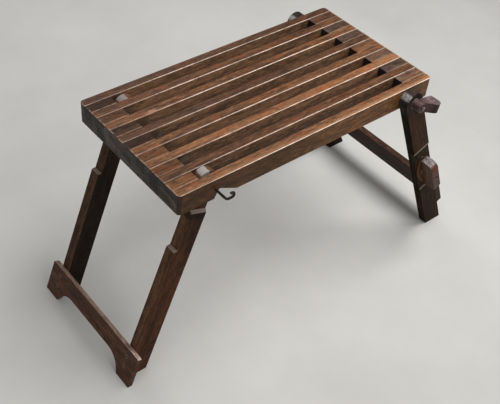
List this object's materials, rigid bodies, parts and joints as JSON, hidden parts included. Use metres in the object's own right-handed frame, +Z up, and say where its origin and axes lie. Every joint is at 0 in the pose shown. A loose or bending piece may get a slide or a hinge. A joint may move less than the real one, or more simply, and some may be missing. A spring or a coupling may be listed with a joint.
{
  "type": "folding stool",
  "caption": "Low folding stool in dark hardwood with a slatted seat, legs that fold flat under it, an arched foot board and wooden thumb nuts.",
  "frame": {"origin": "middle of the stool's box in plan, on the floor", "axes": "+X along the seat from the end with the foot board towards the end with the thumb nuts, +Y from the thumb-nut side to the far side, +Z up"},
  "size_m": [0.8328, 0.3816, 0.425],
  "materials": {
    "seat_wood": "dark stained hardwood, worn light along the arrises",
    "leg_wood": "very dark stained hardwood",
    "red_wood": "dark reddish hardwood",
    "dowel_wood": "plain turned hardwood",
    "iron": "dark aged iron, slightly rusted"
  },
  "bodies": {
    "seat": {"front_rail": "seat_wood", "back_rail": "seat_wood", "slat_2": "seat_wood", "slat_3": "seat_wood", "slat_4": "seat_wood", "slat_5": "seat_wood", "slat_6": "seat_wood", "slat_7": "seat_wood", "left_spacer_1": "seat_wood", "left_spacer_2": "seat_wood", "left_spacer_3": "seat_wood", "left_spacer_4": "seat_wood", "left_spacer_5": "seat_wood", "left_spacer_6": "seat_wood", "left_spacer_7": "seat_wood", "right_spacer_1": "seat_wood", "right_spacer_2": "seat_wood", "right_spacer_3": "seat_wood", "right_spacer_4": "seat_wood", "right_spacer_5": "seat_wood", "right_spacer_6": "seat_wood", "right_spacer_7": "seat_wood", "left_dowel": "dowel_wood", "right_dowel": "dowel_wood", "hooked_pivot_pin": "iron", "plain_pivot_pin": "iron", "neck_collars": "dowel_wood", "pivot_bolt_front": "iron", "pivot_bolt_back": "iron", "pivot_square_nut": "iron"},
    "left_legs": {"left_leg_front": "leg_wood", "left_leg_back": "leg_wood", "foot_board": "red_wood", "foot_board_screws": "iron"},
    "right_legs": {"right_leg_front": "leg_wood", "right_leg_back": "leg_wood", "right_shin_front": "leg_wood", "right_shin_back": "leg_wood", "stretcher": "leg_wood", "stretcher_screws": "iron", "lap_pad_front": "red_wood", "lap_pad_back": "red_wood", "lap_bolt_front": "iron", "lap_bolt_back": "iron", "lap_square_nut": "iron", "lap_washers": "iron", "pivot_washers": "iron"},
    "pivot_thumb_nut": {"pivot_thumb_nut": "red_wood"},
    "lap_thumb_nut": {"lap_thumb_nut": "red_wood"}
  },
  "joints": [
    {"name": "left_legs_fold", "type": "hinge", "parent": "seat", "child": "left_legs", "pos_m": [-0.23795, 0.0105, 0.4041], "axis": [0, -1, 0], "range_deg": [0, 110]},
    {"name": "right_legs_fold", "type": "hinge", "parent": "seat", "child": "right_legs", "pos_m": [0.21105, 0.0105, 0.4031], "axis": [0, 1, 0], "range_deg": [0, 114.4]},
    {"name": "pivot_nut_turn", "type": "hinge", "parent": "seat", "child": "pivot_thumb_nut", "pos_m": [0.21105, -0.1908, 0.4031], "axis": [0, -1, 0], "continuous": true},
    {"name": "lap_nut_turn", "type": "hinge", "parent": "right_legs", "child": "lap_thumb_nut", "pos_m": [0.30607, -0.1908, 0.19364], "axis": [0, -1, 0], "continuous": true}
  ]
}
